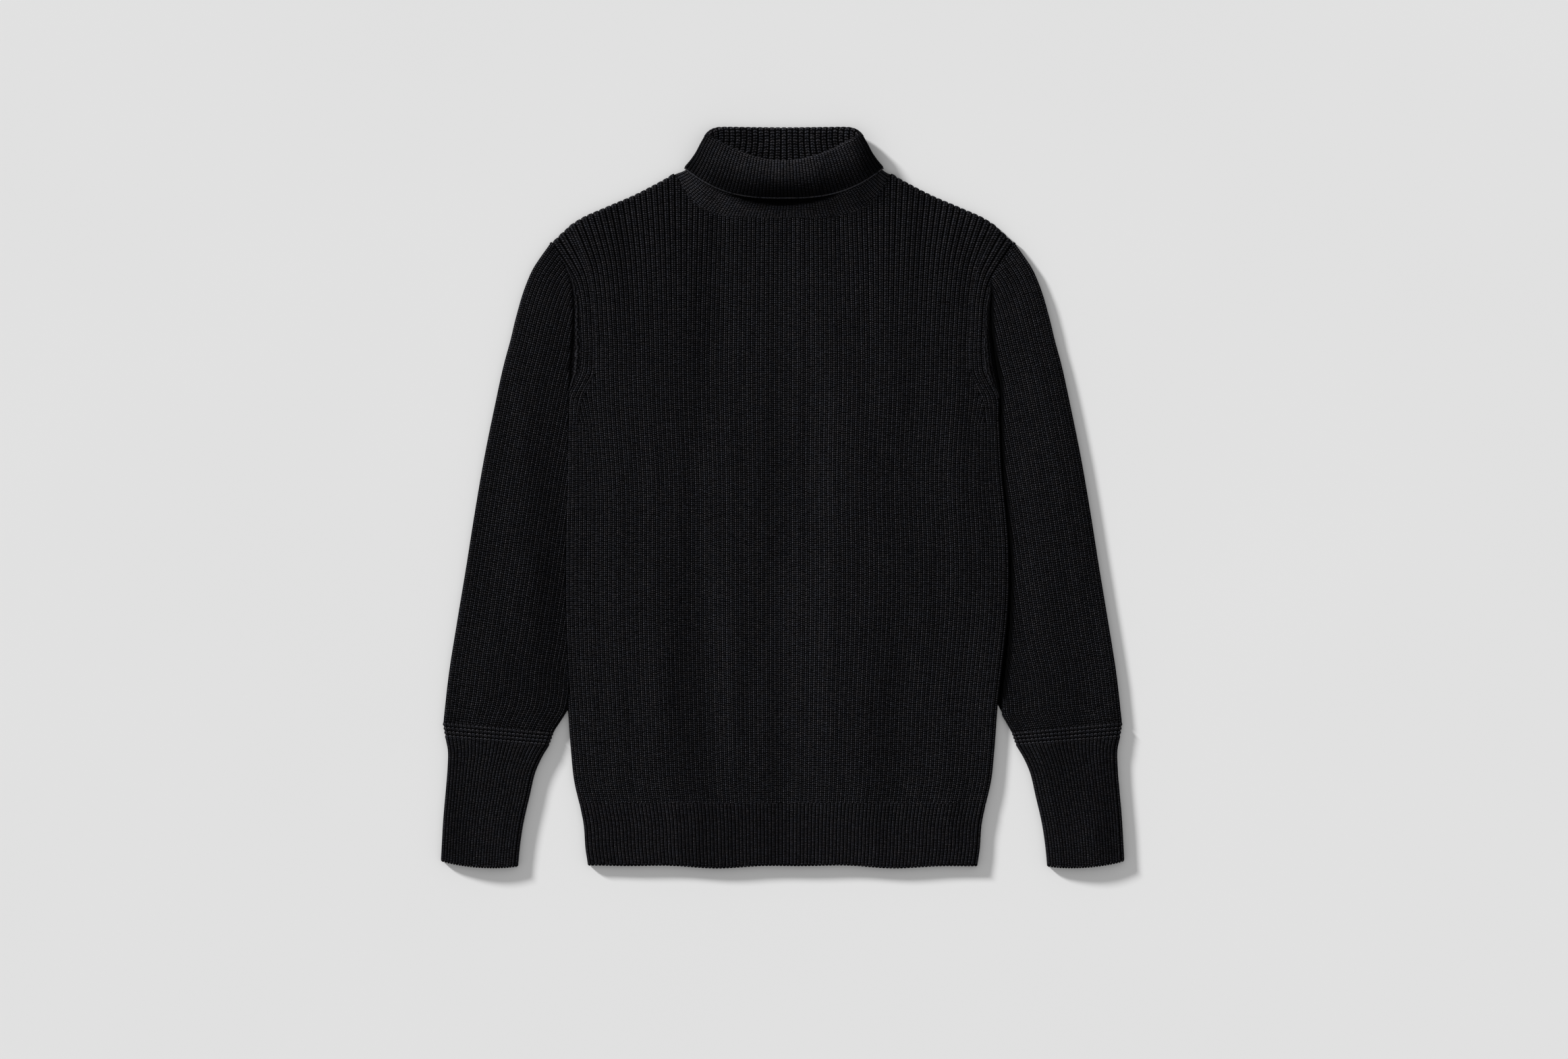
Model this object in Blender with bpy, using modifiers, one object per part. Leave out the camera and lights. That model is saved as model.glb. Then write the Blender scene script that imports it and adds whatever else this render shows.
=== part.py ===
"""Ribbed rollneck sweater, laid flat on its back with the front up.

Frame: +X to the viewer's right, +Y towards the collar, +Z up from the surface, metres.
Every piece is a wall of cloth. The back lies on the surface, the front lies on the back,
and each sleeve and cuff is a flattened tube beside the body. The rollneck is one tube of
rib: it rises from the neckline, turns over at its top and comes down again outside.
"""
import math
from collections import namedtuple

import bpy

# Cloth
CLOTH = 0.0026                  # wall of the heavy rib
SEAM_GAP = 0.0003               # space left between two pieces that are sewn together
LAYER = 0.0038                  # height of an upper layer's middle over a lower layer's middle
BACK_Z = CLOTH / 2              # middle of the cloth that lies on the surface
FRONT_Z = BACK_Z + LAYER        # middle of the front at its edges
BODY_CROWN = 0.0020             # how much higher the middle of the front lies
SLEEVE_CROWN = 0.0022           # the same on a sleeve
CUFF_CROWN = 0.0018             # the same on a cuff

# Body
HEM_SEAM_Y = -0.3080            # where the hem rib joins the body
SHOULDER_TIP_Y = 0.2564         # where the shoulder line meets the sleeve
NECK_HALF = 0.1120              # half of the neckline's width
NECK_SIDE_Y = 0.3225            # where the shoulder line meets the neckline
FRONT_NECK_Y = 0.2815           # lowest point of the front neckline
BACK_NECK_Y = 0.3130            # lowest point of the back neckline
FRONT_SQUARE = 5.0              # how flat the bottom of the front neckline is
BACK_SQUARE = 8.0               # how flat the bottom of the back neckline is

# Sleeve
UNDERARM_Y = 0.1040             # lower end of the armhole
SLEEVE_STANDOFF = 0.0020        # space between the body's side and the sleeve beside it
ARMHOLE_FOLD_INSET = 0.0026     # the sleeve's folded ends stand back from the armhole's corners

# Rollneck
COLLAR_TURN_STEPS = 4           # steps round the turned top edge
COLLAR_HALF_POINTS = 16         # segments in half of a ring

# Mesh steps
SHOULDER_COLUMNS = 4
EDGE_STEPS = 4                  # segments round a sleeve's folded edge

# The side edge of the body, up past the hip to the underarm, then up the armhole's seam.
SideRow = namedtuple("SideRow", "y half_width")
BODY_SIDE = [
    SideRow(-0.3080, 0.2040),
    SideRow(-0.2876, 0.2088),
    SideRow(-0.2540, 0.2125),
    SideRow(-0.2130, 0.2155),
    SideRow(-0.1650, 0.2198),
    SideRow(-0.1100, 0.2235),
    SideRow(-0.0430, 0.2235),
    SideRow(0.0250, 0.2195),
    SideRow(0.0780, 0.2175),
    SideRow(0.1040, 0.2155),
    SideRow(0.1140, 0.2100),
    SideRow(0.1250, 0.2048),
    SideRow(0.1420, 0.2025),
    SideRow(0.1700, 0.2030),
    SideRow(0.2000, 0.2050),
    SideRow(0.2200, 0.2100),
    SideRow(0.2390, 0.2208),
    SideRow(0.2564, 0.2325),
]
HEM_SIDE = [
    SideRow(-0.3712, 0.1955),
    SideRow(-0.3560, 0.1975),
    SideRow(-0.3280, 0.1998),
    SideRow(-0.3083, 0.2038),
]

ShoulderRow = namedtuple("ShoulderRow", "x y")
SHOULDER = [
    ShoulderRow(0.1120, 0.3225),
    ShoulderRow(0.1500, 0.3030),
    ShoulderRow(0.1780, 0.2910),
    ShoulderRow(0.2050, 0.2785),
    ShoulderRow(0.2180, 0.2695),
    ShoulderRow(0.2320, 0.2564),
]

# A sleeve section runs from its inner folded edge to its outer one. seam_share says how much
# of the armhole's curve it still follows, from 1 on the armhole itself to 0 further down.
SleeveRow = namedtuple("SleeveRow", "inner_x inner_y outer_x outer_y seam_share")
SLEEVE = [
    SleeveRow(0.2155, 0.1040, 0.2325, 0.2564, 1.00),
    SleeveRow(0.2165, 0.0900, 0.2425, 0.2425, 0.60),
    SleeveRow(0.2175, 0.0740, 0.2565, 0.2165, 0.30),
    SleeveRow(0.2186, 0.0540, 0.2682, 0.1780, 0.10),
    SleeveRow(0.2200, 0.0300, 0.2790, 0.1380, 0.00),
    SleeveRow(0.2218, 0.0020, 0.2890, 0.0930, 0.00),
    SleeveRow(0.2236, -0.0300, 0.2975, 0.0500, 0.00),
    SleeveRow(0.2242, -0.0640, 0.3055, 0.0060, 0.00),
    SleeveRow(0.2242, -0.1000, 0.3132, -0.0400, 0.00),
    SleeveRow(0.2226, -0.1340, 0.3202, -0.0840, 0.00),
    SleeveRow(0.2204, -0.1660, 0.3275, -0.1270, 0.00),
    SleeveRow(0.2180, -0.1940, 0.3345, -0.1720, 0.00),
    SleeveRow(0.2195, -0.2160, 0.3388, -0.2040, 0.00),
    SleeveRow(0.2290, -0.2353, 0.3410, -0.2266, 0.00),
]
CUFF = [
    SleeveRow(0.2293, -0.2359, 0.3409, -0.2272, 0.00),
    SleeveRow(0.2346, -0.2490, 0.3390, -0.2407, 0.00),
    SleeveRow(0.2430, -0.2640, 0.3366, -0.2590, 0.00),
    SleeveRow(0.2520, -0.2900, 0.3372, -0.2850, 0.00),
    SleeveRow(0.2604, -0.3280, 0.3402, -0.3220, 0.00),
    SleeveRow(0.2680, -0.3730, 0.3426, -0.3660, 0.00),
]

# A ring of the rollneck, measured to the middle of the cloth. Its side is where the flattened
# tube folds from front to back. square says how flat the front of the ring is across.
CollarRow = namedtuple("CollarRow", "half_width y_side y_front y_back square z_side z_front z_back")
COLLAR_STAND = [
    CollarRow(0.1096, 0.3245, 0.2819, 0.3134, 5.0, 0.0032, 0.0062, 0.0013),
    CollarRow(0.1075, 0.3255, 0.2850, 0.3165, 4.6, 0.0034, 0.0064, 0.0014),
    CollarRow(0.0985, 0.3290, 0.2960, 0.3235, 3.8, 0.0044, 0.0088, 0.0036),
    CollarRow(0.0895, 0.3350, 0.3070, 0.3310, 3.0, 0.0064, 0.0118, 0.0060),
    CollarRow(0.0815, 0.3455, 0.3175, 0.3430, 2.5, 0.0088, 0.0145, 0.0064),
    CollarRow(0.0760, 0.3550, 0.3270, 0.3560, 2.2, 0.0106, 0.0163, 0.0063),
    CollarRow(0.0733, 0.3620, 0.3348, 0.3689, 1.9, 0.0116, 0.0170, 0.0063),
]
COLLAR_FLAP = [
    CollarRow(0.0783, 0.3620, 0.3348, 0.3689, 1.9, 0.0116, 0.0220, 0.0013),
    CollarRow(0.0826, 0.3545, 0.3265, 0.3610, 2.2, 0.0108, 0.0222, 0.0013),
    CollarRow(0.0872, 0.3460, 0.3180, 0.3520, 2.4, 0.0098, 0.0208, 0.0013),
    CollarRow(0.0926, 0.3385, 0.3095, 0.3430, 2.6, 0.0088, 0.0186, 0.0013),
    CollarRow(0.0985, 0.3320, 0.3015, 0.3350, 2.8, 0.0078, 0.0162, 0.0013),
]

WOOL_COLOUR = (0.0115, 0.0120, 0.0145, 1.0)
WOOL_ROUGHNESS = 0.92


def smooth_value(rows, key, column, at):
    """Read a column of a table at a key, on a smooth curve through its rows."""
    keys = [getattr(row, key) for row in rows]
    values = [getattr(row, column) for row in rows]
    at = min(max(at, keys[0]), keys[-1])
    last = len(rows) - 1
    i = next(k for k in range(last) if at <= keys[k + 1])

    def slope(k):
        lower = max(k - 1, 0)
        upper = min(k + 1, last)
        return (values[upper] - values[lower]) / (keys[upper] - keys[lower])

    step = keys[i + 1] - keys[i]
    t = (at - keys[i]) / step
    rise = values[i] * (1 + 2 * t) * (1 - t) ** 2 + values[i + 1] * t * t * (3 - 2 * t)
    bend = step * (slope(i) * t * (1 - t) ** 2 - slope(i + 1) * t * t * (1 - t))
    return rise + bend


def straight_value(rows, key, column, at):
    """Read a column of a table at a key, on straight lines from row to row."""
    keys = [getattr(row, key) for row in rows]
    at = min(max(at, keys[0]), keys[-1])
    i = next(k for k in range(len(rows) - 1) if at <= keys[k + 1])
    t = (at - keys[i]) / (keys[i + 1] - keys[i])
    return between(getattr(rows[i], column), getattr(rows[i + 1], column), t)


def between(a, b, t):
    return a + (b - a) * t


def wool_material(name):
    material = bpy.data.materials.new(name)
    material.use_nodes = True
    shader = material.node_tree.nodes["Principled BSDF"]
    shader.inputs["Base Color"].default_value = WOOL_COLOUR
    shader.inputs["Roughness"].default_value = WOOL_ROUGHNESS
    shader.inputs["Metallic"].default_value = 0.0
    material.diffuse_color = WOOL_COLOUR
    return material


def cloth_object(name, grid, closed, flip):
    """Make a wall of cloth from a grid of points, whose rows are rings if closed."""
    rows = len(grid)
    columns = len(grid[0])
    points = [point for row in grid for point in row]
    faces = []
    for r in range(rows - 1):
        for c in range(columns if closed else columns - 1):
            a = r * columns + c
            b = r * columns + (c + 1) % columns
            face = (a, b, b + columns, a + columns)
            faces.append(face[::-1] if flip else face)
    mesh = bpy.data.meshes.new(name)
    mesh.from_pydata(points, [], faces)
    mesh.validate()
    piece = bpy.data.objects.new(name, mesh)
    collection.objects.link(piece)
    mesh.materials.append(wool_material(name + "_wool"))
    mesh.shade_smooth()
    wall = piece.modifiers.new("wall", "SOLIDIFY")
    wall.thickness = CLOTH
    wall.offset = 0.0
    return piece


# Body panels

def body_columns():
    """Place the columns across the top row, so that the neckline's match the rollneck's ring."""
    top_half = BODY_SIDE[-1].half_width
    neck = [NECK_HALF * math.cos(math.pi * k / COLLAR_HALF_POINTS) for k in range(COLLAR_HALF_POINTS + 1)]
    shoulder = [between(NECK_HALF, top_half, k / SHOULDER_COLUMNS) for k in range(1, SHOULDER_COLUMNS + 1)]
    across = shoulder[::-1] + neck + [-x for x in shoulder]
    return [x / top_half for x in across[::-1]]


def top_edge_y(x, neck_y, square):
    """Give the upper edge of a panel: the neckline, and the shoulder line beside it."""
    if abs(x) <= NECK_HALF:
        drop = 1 - abs(x / NECK_HALF) ** square
        return between(NECK_SIDE_Y, neck_y, drop)
    return smooth_value(SHOULDER, "x", "y", abs(x))


def front_height(share, climb):
    """Give the middle of the front's cloth: highest inside, down to FRONT_Z at its edges."""
    across = 1 - share * share
    along = math.sin(math.pi * min(1.0, 0.1 + climb * 0.9))
    return FRONT_Z + BODY_CROWN * across * along


def body_panel(name, neck_y, square, is_front):
    columns = body_columns()
    top_half = BODY_SIDE[-1].half_width
    grid = []
    for side in BODY_SIDE:
        climb = (side.y - HEM_SEAM_Y) / (SHOULDER_TIP_Y - HEM_SEAM_Y)
        row = []
        for share in columns:
            top = top_edge_y(share * top_half, neck_y, square)
            y = between(HEM_SEAM_Y, top, climb)
            z = front_height(share, climb) if is_front else BACK_Z
            row.append((share * side.half_width, y, z))
        grid.append(row)
    return cloth_object(name, grid, closed=False, flip=False)


def hem_band(name, is_front):
    columns = body_columns()
    grid = []
    for side in HEM_SIDE:
        row = []
        for share in columns:
            z = front_height(share, 0.0) if is_front else BACK_Z
            row.append((share * side.half_width, side.y, z))
        grid.append(row)
    return cloth_object(name, grid, closed=False, flip=False)


# Sleeves and cuffs

def armhole_shares():
    """Place the points across a sleeve, so that the armhole's match the body's side rows."""
    depth = SHOULDER_TIP_Y - UNDERARM_Y
    return [(side.y - UNDERARM_Y) / depth for side in BODY_SIDE if UNDERARM_Y < side.y < SHOULDER_TIP_Y]


def section_ring(row, crown, hand):
    """Give one flattened section of a sleeve: flat below, crowned above, round at both folds."""
    radius = LAYER / 2
    length = math.dist((row.inner_x, row.inner_y), (row.outer_x, row.outer_y))
    start = radius / length
    standoff = between(SLEEVE_STANDOFF, SEAM_GAP, row.seam_share)
    on_seam = row.seam_share == 1

    def place(t, z, folded=False):
        x = between(row.inner_x, row.outer_x, t)
        y = between(row.inner_y, row.outer_y, t)
        seam = straight_value(BODY_SIDE, "y", "half_width", y)
        inset = CLOTH / 2 * (1 - 2 * t)
        share = row.seam_share * (1 - t * t)
        if on_seam:
            inset = ARMHOLE_FOLD_INSET if folded else 0.0
            share = 1.0
        return (hand * (between(x, seam, share) + standoff + inset), y, z)

    ring = []
    across = [t for t in armhole_shares() if start < t < 1 - start]
    for k in range(EDGE_STEPS + 1):
        angle = math.pi * k / EDGE_STEPS
        fold = start - radius / length * math.sin(angle)
        ring.append(place(fold, BACK_Z + radius * (1 - math.cos(angle)), folded=True))
    for t in across:
        ring.append(place(t, FRONT_Z + crown * math.sin(math.pi * t)))
    for k in range(EDGE_STEPS + 1):
        angle = math.pi * k / EDGE_STEPS
        fold = 1 - start + radius / length * math.sin(angle)
        ring.append(place(fold, BACK_Z + radius * (1 + math.cos(angle)), folded=True))
    for t in reversed(across):
        ring.append(place(t, BACK_Z))
    return ring


def sleeve_tube(name, rows, crown_start, crown_end, hand):
    grid = []
    for r, row in enumerate(rows):
        crown = between(crown_start, crown_end, min(1.0, 3 * r / (len(rows) - 1)))
        grid.append(section_ring(row, crown, hand))
    return cloth_object(name, grid, closed=True, flip=hand > 0)


# Rollneck

def collar_point(row, turn):
    """Give a ring's point. A turn of 0 is the right side, a quarter the front, a half the left."""
    c = math.cos(2 * math.pi * turn)
    front = turn <= 0.5
    x = row.half_width * c
    if front:
        y = between(row.y_side, row.y_front, 1 - abs(c) ** row.square)
    else:
        y = between(row.y_side, row.y_back, 1 - abs(c) ** BACK_SQUARE)
    level = row.z_front if front else row.z_back
    z = between(row.z_side, level, math.sqrt(max(0.0, 1 - abs(c) ** 4)))
    return (x, y, z)


def turned_point(inner, outer, t):
    """Give a point on the half circle that turns the cloth over, upwards in Y."""
    radius = math.dist(inner, outer) / 2
    along = (1 - math.cos(math.pi * t)) / 2
    point = [between(a, b, along) for a, b in zip(inner, outer)]
    point[1] += radius * math.sin(math.pi * t)
    return tuple(point)


def rollneck():
    count = 2 * COLLAR_HALF_POINTS
    turns = [k / count for k in range(count)]
    grid = [[collar_point(row, turn) for turn in turns] for row in COLLAR_STAND]
    flap = [[collar_point(row, turn) for turn in turns] for row in COLLAR_FLAP]
    inner = grid[-1]
    outer = flap[0]
    for k in range(1, COLLAR_TURN_STEPS):
        t = k / COLLAR_TURN_STEPS
        grid.append([turned_point(a, b, t) for a, b in zip(inner, outer)])
    grid.extend(flap)
    return cloth_object("rollneck", grid, closed=True, flip=True)


def build():
    body_panel("back", BACK_NECK_Y, BACK_SQUARE, is_front=False)
    body_panel("front", FRONT_NECK_Y, FRONT_SQUARE, is_front=True)
    hem_band("hem_rib_back", is_front=False)
    hem_band("hem_rib_front", is_front=True)
    for side, hand in (("left", -1), ("right", 1)):
        sleeve_tube("sleeve_" + side, SLEEVE, 0.0, SLEEVE_CROWN, hand)
        sleeve_tube("cuff_" + side, CUFF, SLEEVE_CROWN, CUFF_CROWN, hand)
    rollneck()


for leftover in list(bpy.data.objects):
    bpy.data.objects.remove(leftover)
collection = bpy.data.collections.new("rollneck_sweater")
bpy.context.scene.collection.children.link(collection)
build()
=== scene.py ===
import math
from collections import namedtuple

import bpy
import numpy as np
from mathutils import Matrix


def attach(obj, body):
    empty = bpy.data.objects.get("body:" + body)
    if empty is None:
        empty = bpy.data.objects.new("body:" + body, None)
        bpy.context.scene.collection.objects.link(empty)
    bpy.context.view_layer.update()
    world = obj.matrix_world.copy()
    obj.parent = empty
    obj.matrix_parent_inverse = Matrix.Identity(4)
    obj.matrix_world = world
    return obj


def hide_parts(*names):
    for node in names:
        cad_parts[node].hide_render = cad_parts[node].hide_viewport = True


# Looks of the ribbed rollneck sweater that lies flat, front up, on a pale floor.
#
# Each piece of cloth is a shell of real ribs on its solid's form. A shell is made of grids whose
# columns follow the ribs, and a procedural wool draws the stitches from the rib and course numbers
# that ride with the cloth.

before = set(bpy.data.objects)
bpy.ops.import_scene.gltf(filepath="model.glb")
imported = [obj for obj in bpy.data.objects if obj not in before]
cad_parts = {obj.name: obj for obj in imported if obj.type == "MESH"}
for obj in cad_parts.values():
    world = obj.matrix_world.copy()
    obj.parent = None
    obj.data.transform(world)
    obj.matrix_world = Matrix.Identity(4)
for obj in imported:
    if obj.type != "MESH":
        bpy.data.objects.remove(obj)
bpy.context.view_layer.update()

# Levels, metres above the floor
FOLD = 0.0026             # radius of a folded edge
FOLD_DEPTH = 1.35         # how much deeper than round a fold goes
SLEEVE_FOLD_DEPTH = 1.3
SHOULDER_FOLD_DEPTH = 1.2
SIDE_ANGLES = tuple(math.radians(a) for a in (20, 42, 66, 90, 118))
SHOULDER_ANGLES = tuple(math.radians(a) for a in (18, 36, 54, 72, 90, 112, 135))
LIP = 0.0014              # radius of the cloth's end at a hem or a cuff
LIP_ANGLES = (30, 60, 90, 120)
LIP_TRAVEL = (1.003, 1.006, 1.009, 1.012)
UNDER_LIP_ANGLES = (45, 90)
FLOOR_SIDE = 0.0003       # level of the cloth that shows only from below
TOP_EDGE = 0.0056         # upper side of the cloth near a folded edge, at the furrows
LOW_EDGE = 0.0016         # where an upper layer ends under its folded edge
UNDER_TOP = 0.0009        # upper side of the layer on the floor
BODY_CROWN = 0.0018
SLEEVE_CROWN = 0.0019

# Ribs and courses
BODY_RIBS = 50            # ribs in half of the body below the armholes
DROPPED_RIBS = 6          # ribs that end at the underarm's fashioning
EDGE_RIBS = 3             # ribs that run unbroken along the side and the armhole
UPPER_RIBS = BODY_RIBS - DROPPED_RIBS
BODY_RIB = 0.0045
BODY_COURSE = 0.00209
SLEEVE_RIB = 0.00422
SLEEVE_RIBS = 29
SLEEVE_COURSE = 0.00222
STRIP_RIB = 0.0026        # ribs beside the armhole, seen end on
GAP = 0.0046              # between the body's side and the right sleeve
UNDER_COLUMNS = 24        # of a sleeve's lower layer
SLEEVE_TUCK = 0.0034      # how far a sleeve's inner fold reaches in below its crease
RIGHT_TUCK = 0.0010       # how much wider that fold is on the right sleeve, above its widest
CUFF_RIBS = 25
CUFF_RIB = 0.0036
CUFF_COURSE = 0.00165
HEM_RIBS = 108
HEM_RIB = 0.0037
HEM_COURSE = 0.00157
HEM_TUCK = 0.0022         # how far the hem's upper edge goes under the body
COLLAR_RIBS = 58          # ribs in half of the rollneck
COLLAR_COURSE = 0.00173
INSIDE_RIBS = 27          # coarser ribs inside the back of the neck
RIB_STEPS = (0.0, 0.08, 0.22, 0.40, 0.60, 0.78, 0.92)
FINE_STEPS = (0.0, 0.12, 0.34, 0.66, 0.88)
BODY_RELIEF = 0.0011
BACK_RELIEF = 0.0009
SLEEVE_RELIEF = 0.0010
FINE_RELIEF = 0.0010
COARSE_RELIEF = 0.0012
NECKBAND_RIBS = 78        # finer ribs between the body and the rollneck's flap
NECKBAND_RELIEF = 0.0005
FLAP_SHADOW_REACH = 0.0075             # how far the painted shadow under the flap reaches below its edge
HEM_RELIEF = 0.0013
PURL_RELIEF = 0.0014

# Body outline, close to that of the solids
HEM_SEAM_Y = -0.3080
SHOULDER_TIP_Y = 0.2564
CHEST_Y = 0.1350
DROP_HIGH_Y = 0.1220
DROP_LOW_Y = 0.0690
EVEN_Y = -0.0350          # below this all ribs have one width
NECK_HALF = 0.1090
NECK_SIDE_Y = 0.3245
FRONT_NECK_Y = 0.2815
FRONT_SQUARE = 5.0
FRONT_INSET = 1.05 * FOLD
BACK_NECK_Y = 0.3130
BACK_SQUARE = 8.0
BACK_INSET = 0.0004
SIDE_SWELL = 0.0035       # how much further out the right side lies, and the left side in
SWELL_Y = -0.075
SWELL_LENGTH = 0.150

SideRow = namedtuple("SideRow", "y half_width")
BODY_SIDE = [
    SideRow(-0.3080, 0.2040),
    SideRow(-0.2876, 0.2088),
    SideRow(-0.2540, 0.2125),
    SideRow(-0.2130, 0.2155),
    SideRow(-0.1650, 0.2198),
    SideRow(-0.1100, 0.2235),
    SideRow(-0.0430, 0.2235),
    SideRow(0.0250, 0.2195),
    SideRow(0.0780, 0.2175),
    SideRow(0.1040, 0.2155),
    SideRow(0.1140, 0.2100),
    SideRow(0.1250, 0.2048),
    SideRow(0.1420, 0.2025),
    SideRow(0.1700, 0.2030),
    SideRow(0.2000, 0.2050),
    SideRow(0.2200, 0.2100),
    SideRow(0.2390, 0.2208),
    SideRow(0.2564, 0.2325),
]
HEM_SIDE = [
    SideRow(-0.3691, 0.1955),
    SideRow(-0.3560, 0.1975),
    SideRow(-0.3280, 0.1998),
    SideRow(-0.3083, 0.2038),
]
ShoulderRow = namedtuple("ShoulderRow", "x y")
SHOULDER = [
    ShoulderRow(0.1090, 0.3245),
    ShoulderRow(0.1500, 0.3030),
    ShoulderRow(0.1780, 0.2910),
    ShoulderRow(0.2050, 0.2785),
    ShoulderRow(0.2180, 0.2695),
    ShoulderRow(0.2325, 0.2564),
]
# Where each rib meets the upper edge: evenly along the neckline, wider over the shoulder
FanRow = namedtuple("FanRow", "rib x")
TOP_FAN = [
    FanRow(0.0, 0.0000),
    FanRow(10.0, 0.0445),
    FanRow(18.0, 0.0795),
    FanRow(21.0, 0.0960),
    FanRow(23.5, 0.1120),
    FanRow(30.0, 0.1490),
    FanRow(37.0, 0.1905),
    FanRow(44.0, 0.2325),
]

EdgeRow = namedtuple("EdgeRow", "x y")
SLEEVE_OUTER = [
    EdgeRow(0.2325, 0.2564),
    EdgeRow(0.2425, 0.2425),
    EdgeRow(0.2510, 0.2295),
    EdgeRow(0.2570, 0.2160),
    EdgeRow(0.2620, 0.2020),
    EdgeRow(0.2660, 0.1880),
    EdgeRow(0.2695, 0.1748),
    EdgeRow(0.2727, 0.1610),
    EdgeRow(0.2800, 0.1340),
    EdgeRow(0.2890, 0.0930),
    EdgeRow(0.3000, 0.0388),
    EdgeRow(0.3094, -0.0156),
    EdgeRow(0.3180, -0.0700),
    EdgeRow(0.3270, -0.1244),
    EdgeRow(0.3356, -0.1788),
    EdgeRow(0.3410, -0.2266),
]
# Inner edge of each sleeve as seen: down the crease beside the armhole, then along the body
InnerRow = namedtuple("InnerRow", "y left right")
SLEEVE_INNER = [
    InnerRow(-0.2440, 0.2350, 0.2350),
    InnerRow(-0.2370, 0.2316, 0.2316),
    InnerRow(-0.2271, 0.2256, 0.2258),
    InnerRow(-0.2196, 0.2206, 0.2218),
    InnerRow(-0.2122, 0.2168, 0.2212),
    InnerRow(-0.2050, 0.2166, 0.2228),
    InnerRow(-0.1530, 0.2185, 0.2298),
    InnerRow(-0.1110, 0.2200, 0.2326),
    InnerRow(-0.0470, 0.2200, 0.2326),
    InnerRow(-0.0300, 0.2195, 0.2310),
    InnerRow(0.0200, 0.2172, 0.2260),
    InnerRow(0.0660, 0.2176, 0.2237),
    InnerRow(0.1156, 0.2168, 0.2224),
    InnerRow(0.1421, 0.2156, 0.2180),
    InnerRow(0.1625, 0.2140, 0.2150),
    InnerRow(0.1830, 0.2130, 0.2135),
    InnerRow(0.2067, 0.2136, 0.2130),
    InnerRow(0.2220, 0.2165, 0.2110),
    InnerRow(0.2400, 0.2225, 0.2220),
    InnerRow(0.2564, 0.2325, 0.2325),
]

CuffRow = namedtuple("CuffRow", "inner_x inner_y outer_x outer_y")
CUFF = [
    CuffRow(0.2320, -0.2370, 0.3412, -0.2268),
    CuffRow(0.2366, -0.2495, 0.3386, -0.2415),
    CuffRow(0.2428, -0.2600, 0.3362, -0.2540),
    CuffRow(0.2500, -0.2760, 0.3364, -0.2720),
    CuffRow(0.2558, -0.3000, 0.3382, -0.2950),
    CuffRow(0.2622, -0.3280, 0.3406, -0.3220),
    CuffRow(0.2660, -0.3540, 0.3422, -0.3490),
    CuffRow(0.2674, -0.3692, 0.3430, -0.3640),
]
CUFF_SHADE = 0.97
CUFF_TUCK = 0.0040        # how far a cuff reaches in under the sleeve's end
TUCK_WIDTH = 0.975        # of that row, as a part of the cuff's width
TUCK_DROP = 0.0024
TUCK_FLOOR = 0.0006
PURL_SHADE = 1.12         # painted light: a ridge stands out, and so catches more light than a rib
CUFF_BOW = 0.0034         # how far the cuff's end curves out between its corners
PURL_ROWS = 3.5           # purl welts between sleeve and cuff, each of two rows
PURL_RISE = 0.36          # how far a welt zigzags, as a part of its width
PURL_SHARE = 0.108        # their part of the cuff piece's length

CollarRow = namedtuple("CollarRow", "half_width y_side y_front y_back square z_side z_front z_back")
COLLAR_STAND = [
    CollarRow(0.1125, 0.3225, 0.2812, 0.3134, 5.0, 0.0040, 0.0066, 0.0013),
    CollarRow(0.1075, 0.3255, 0.2850, 0.3165, 4.6, 0.0042, 0.0074, 0.0014),
    CollarRow(0.0985, 0.3290, 0.2960, 0.3235, 3.8, 0.0050, 0.0096, 0.0036),
    CollarRow(0.0895, 0.3350, 0.3070, 0.3310, 3.0, 0.0066, 0.0122, 0.0060),
    CollarRow(0.0815, 0.3455, 0.3175, 0.3430, 2.5, 0.0088, 0.0145, 0.0064),
    CollarRow(0.0760, 0.3550, 0.3270, 0.3560, 2.2, 0.0106, 0.0163, 0.0063),
    CollarRow(0.0733, 0.3620, 0.3348, 0.3689, 1.9, 0.0116, 0.0170, 0.0063),
]
COLLAR_FLAP = [
    CollarRow(0.0783, 0.3620, 0.3348, 0.3689, 1.9, 0.0116, 0.0220, 0.0013),
    CollarRow(0.0826, 0.3545, 0.3265, 0.3610, 2.2, 0.0108, 0.0224, 0.0013),
    CollarRow(0.0872, 0.3460, 0.3180, 0.3520, 2.4, 0.0098, 0.0210, 0.0013),
    CollarRow(0.0926, 0.3385, 0.3095, 0.3430, 2.6, 0.0088, 0.0182, 0.0013),
    CollarRow(0.0985, 0.3320, 0.3015, 0.3350, 2.8, 0.0078, 0.0146, 0.0013),
]
STAND_ROWS = 36
FLAP_ROWS = 34
COLLAR_TURN_STEPS = 8
COLLAR_BACK_SQUARE = 18.0
CURL = 0.0011             # radius of the flap's bound edge
CURL_ANGLES = (40, 80, 120, 160)
BOUND_ROWS = len(CURL_ANGLES) + 1
COLLAR_LEAN = 0.0027      # how much further the rollneck reaches on the right

# Soft creases of the body: a trough is a negative depth. lean is how far it drifts in X per Y.
CreaseRow = namedtuple("CreaseRow", "x y length width lean depth")
CREASES = [
    CreaseRow(-0.100, -0.175, 0.140, 0.022, 0.04, -0.0012),
    CreaseRow(-0.045, -0.160, 0.160, 0.028, -0.03, 0.0007),
    CreaseRow(0.030, -0.060, 0.220, 0.034, 0.02, 0.0007),
    CreaseRow(0.105, -0.150, 0.150, 0.026, 0.09, -0.0007),
    CreaseRow(0.150, -0.080, 0.140, 0.024, 0.10, 0.0007),
    CreaseRow(-0.165, -0.060, 0.130, 0.022, -0.04, 0.0006),
    CreaseRow(0.060, 0.160, 0.100, 0.030, 0.05, 0.0006),
    CreaseRow(-0.080, 0.150, 0.110, 0.026, -0.06, -0.0005),
]


# Curves and grids

def between(a, b, t):
    return a + (b - a) * t


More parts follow.
